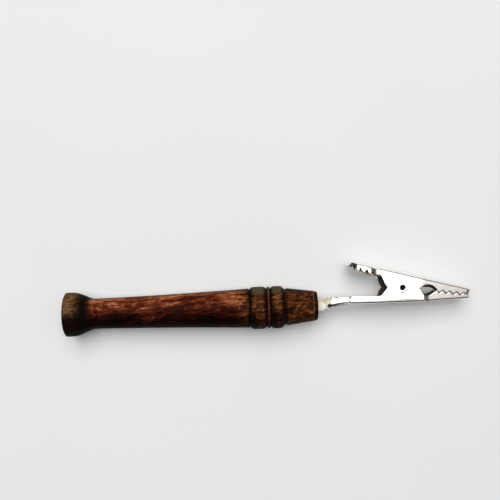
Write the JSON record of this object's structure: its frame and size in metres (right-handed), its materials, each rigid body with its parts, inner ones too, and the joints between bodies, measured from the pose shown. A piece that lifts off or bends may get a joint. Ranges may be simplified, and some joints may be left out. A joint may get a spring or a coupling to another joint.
{
  "type": "handled spring clip",
  "caption": "Toothed spring clip of folded sheet steel with a ribbed thumb pad, fixed by a steel stem into a turned hardwood handle with a butt knob and beads.",
  "frame": {"origin": "centre of the handle's flat butt face, on the handle's axis", "axes": "+X along the handle towards the jaws, +Y towards the thumb pad's side, +Z along the pivot rivet, which stands upright when the clip lies on its side"},
  "size_m": [0.1388, 0.022, 0.0152],
  "materials": {
    "dark_hardwood": "oiled, open grain",
    "stem_steel": "drawn rod",
    "cream_glue": "cured, slightly glossy",
    "plated_steel": "bright nickel plate",
    "rivet_steel": "bright nickel plate",
    "spring_steel": "drawn spring wire"
  },
  "bodies": {
    "handle_and_lower_jaw": {"handle": "dark_hardwood", "stem": "stem_steel", "glue_collar": "cream_glue", "lower_jaw": "plated_steel", "pivot_rivet": "rivet_steel", "torsion_spring": "spring_steel"},
    "upper_jaw": {"upper_jaw": "plated_steel"}
  },
  "joints": [
    {"name": "jaw_hinge", "type": "hinge", "parent": "handle_and_lower_jaw", "child": "upper_jaw", "pos_m": [0.11508, 0.00537, 0], "axis": [0, 0, 1], "range_deg": [0, 26], "stiffness_Nm_per_rad": 0.08, "springref_deg": -51.57, "deforming": ["torsion_spring"]}
  ]
}
